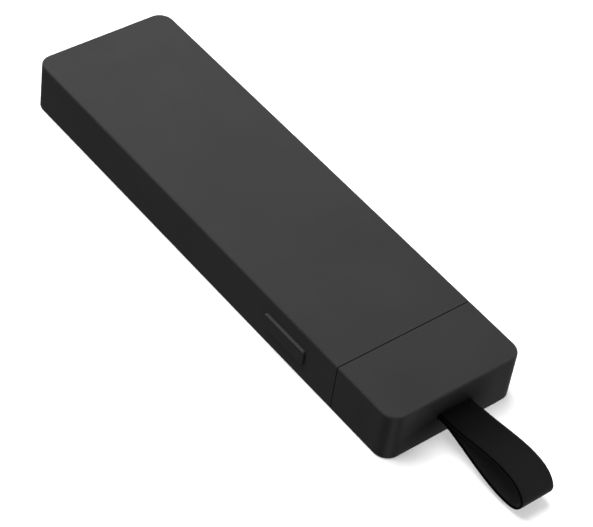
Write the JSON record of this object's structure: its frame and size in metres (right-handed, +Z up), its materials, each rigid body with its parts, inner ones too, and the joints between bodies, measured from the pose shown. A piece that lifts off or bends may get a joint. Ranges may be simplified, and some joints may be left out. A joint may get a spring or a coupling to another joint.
{
  "type": "streaming media player",
  "caption": "Flat black plug-in video stick with a side button and a pull-off end cap that covers its plug and carries a short woven strap loop.",
  "frame": {"origin": "middle of the flat underside of the stick with its cap on, at the height of the surface it lies on", "axes": "+X along the stick from the power inlet end to the cap and strap, +Z up out of the flat top face, -Y the side with the button"},
  "size_m": [0.1394, 0.033, 0.0114],
  "materials": {
    "housing_plastic": "fine matte texture, near black",
    "button_plastic": "satin, near black",
    "cap_plastic": "fine matte texture, near black",
    "cover_plastic": "fine matte texture, near black",
    "bezel_plastic": "matte, near black",
    "liner_rubber": "soft matte elastomer",
    "label_film": "blank satin film",
    "strap_fabric": "narrow black woven ribbon",
    "steel_black": "black zinc-plated steel",
    "pin_steel": "ground steel",
    "plug_nickel": "nickel-plated drawn sheet",
    "shield_tin": "tin-plated pressed sheet",
    "contact_gold": "gold-plated copper alloy",
    "insulator": "black moulded insulator",
    "board_laminate": "solder-masked glass laminate",
    "chip_epoxy": "moulded epoxy",
    "ceramic_part": "fired chip ceramic",
    "ferrite": "pressed ferrite",
    "thermal_pad": "soft filled silicone pad",
    "spreader_aluminium": "rolled sheet",
    "antenna_metal": "plated spring strip",
    "light_lens": "frosted clear moulding",
    "led_body": "light component"
  },
  "bodies": {
    "player": {"upper_housing": "housing_plastic", "lower_cover": "cover_plastic", "front_bezel": "bezel_plastic", "underside_label": "label_film", "cover_screws": "steel_black", "main_board": "board_laminate", "hdmi_plug_shell": "plug_nickel", "hdmi_plug_core": "insulator", "hdmi_contacts": "contact_gold", "usb_port_shell": "plug_nickel", "usb_port_tongue": "insulator", "usb_contacts": "contact_gold", "processor_chip": "chip_epoxy", "memory_chips": "chip_epoxy", "flash_chip": "chip_epoxy", "power_chip": "chip_epoxy", "wireless_module": "shield_tin", "clock_crystals": "shield_tin", "power_inductors": "ferrite", "capacitors": "ceramic_part", "top_shield_frame": "shield_tin", "top_shield_lid": "shield_tin", "bottom_shield_frame": "shield_tin", "bottom_shield_lid": "shield_tin", "processor_pad": "thermal_pad", "top_thermal_pad": "thermal_pad", "bottom_thermal_pad": "thermal_pad", "top_heat_spreader": "spreader_aluminium", "bottom_heat_spreader": "spreader_aluminium", "antennas": "antenna_metal", "status_light": "led_body", "light_pipe": "light_lens", "switch_base": "insulator", "switch_cover": "shield_tin", "switch_dome": "pin_steel", "switch_terminals": "shield_tin"},
    "button": {"side_button": "button_plastic"},
    "plunger": {"switch_plunger": "insulator"},
    "cap": {"cap_shell": "cap_plastic", "cap_liner": "liner_rubber", "strap_pin": "pin_steel", "strap_tail": "strap_fabric"},
    "strap": {"strap_loop": "strap_fabric"}
  },
  "joints": [
    {"name": "cap_pull", "type": "slide", "parent": "player", "child": "cap", "axis": [1, 0, 0], "range_m": [0, 0.02]},
    {"name": "strap_swing", "type": "hinge", "parent": "cap", "child": "strap", "pos_m": [0.0599, 0, 0.0057], "axis": [0, -1, 0], "range_deg": [-3, 60], "stiffness_Nm_per_rad": 0.002},
    {"name": "button_press", "type": "slide", "parent": "player", "child": "button", "axis": [0, 1, 0], "range_m": [0, 0.00035], "stiffness_N_per_m": 900, "springref_m": -0.0012, "deforming": ["switch_dome"]},
    {"name": "plunger_press", "type": "slide", "parent": "player", "child": "plunger", "axis": [0, 1, 0], "range_m": [0, 0.00035]}
  ],
  "couplings": [
    {"joint": "plunger_press", "follows": "button_press", "ratio": 1}
  ]
}
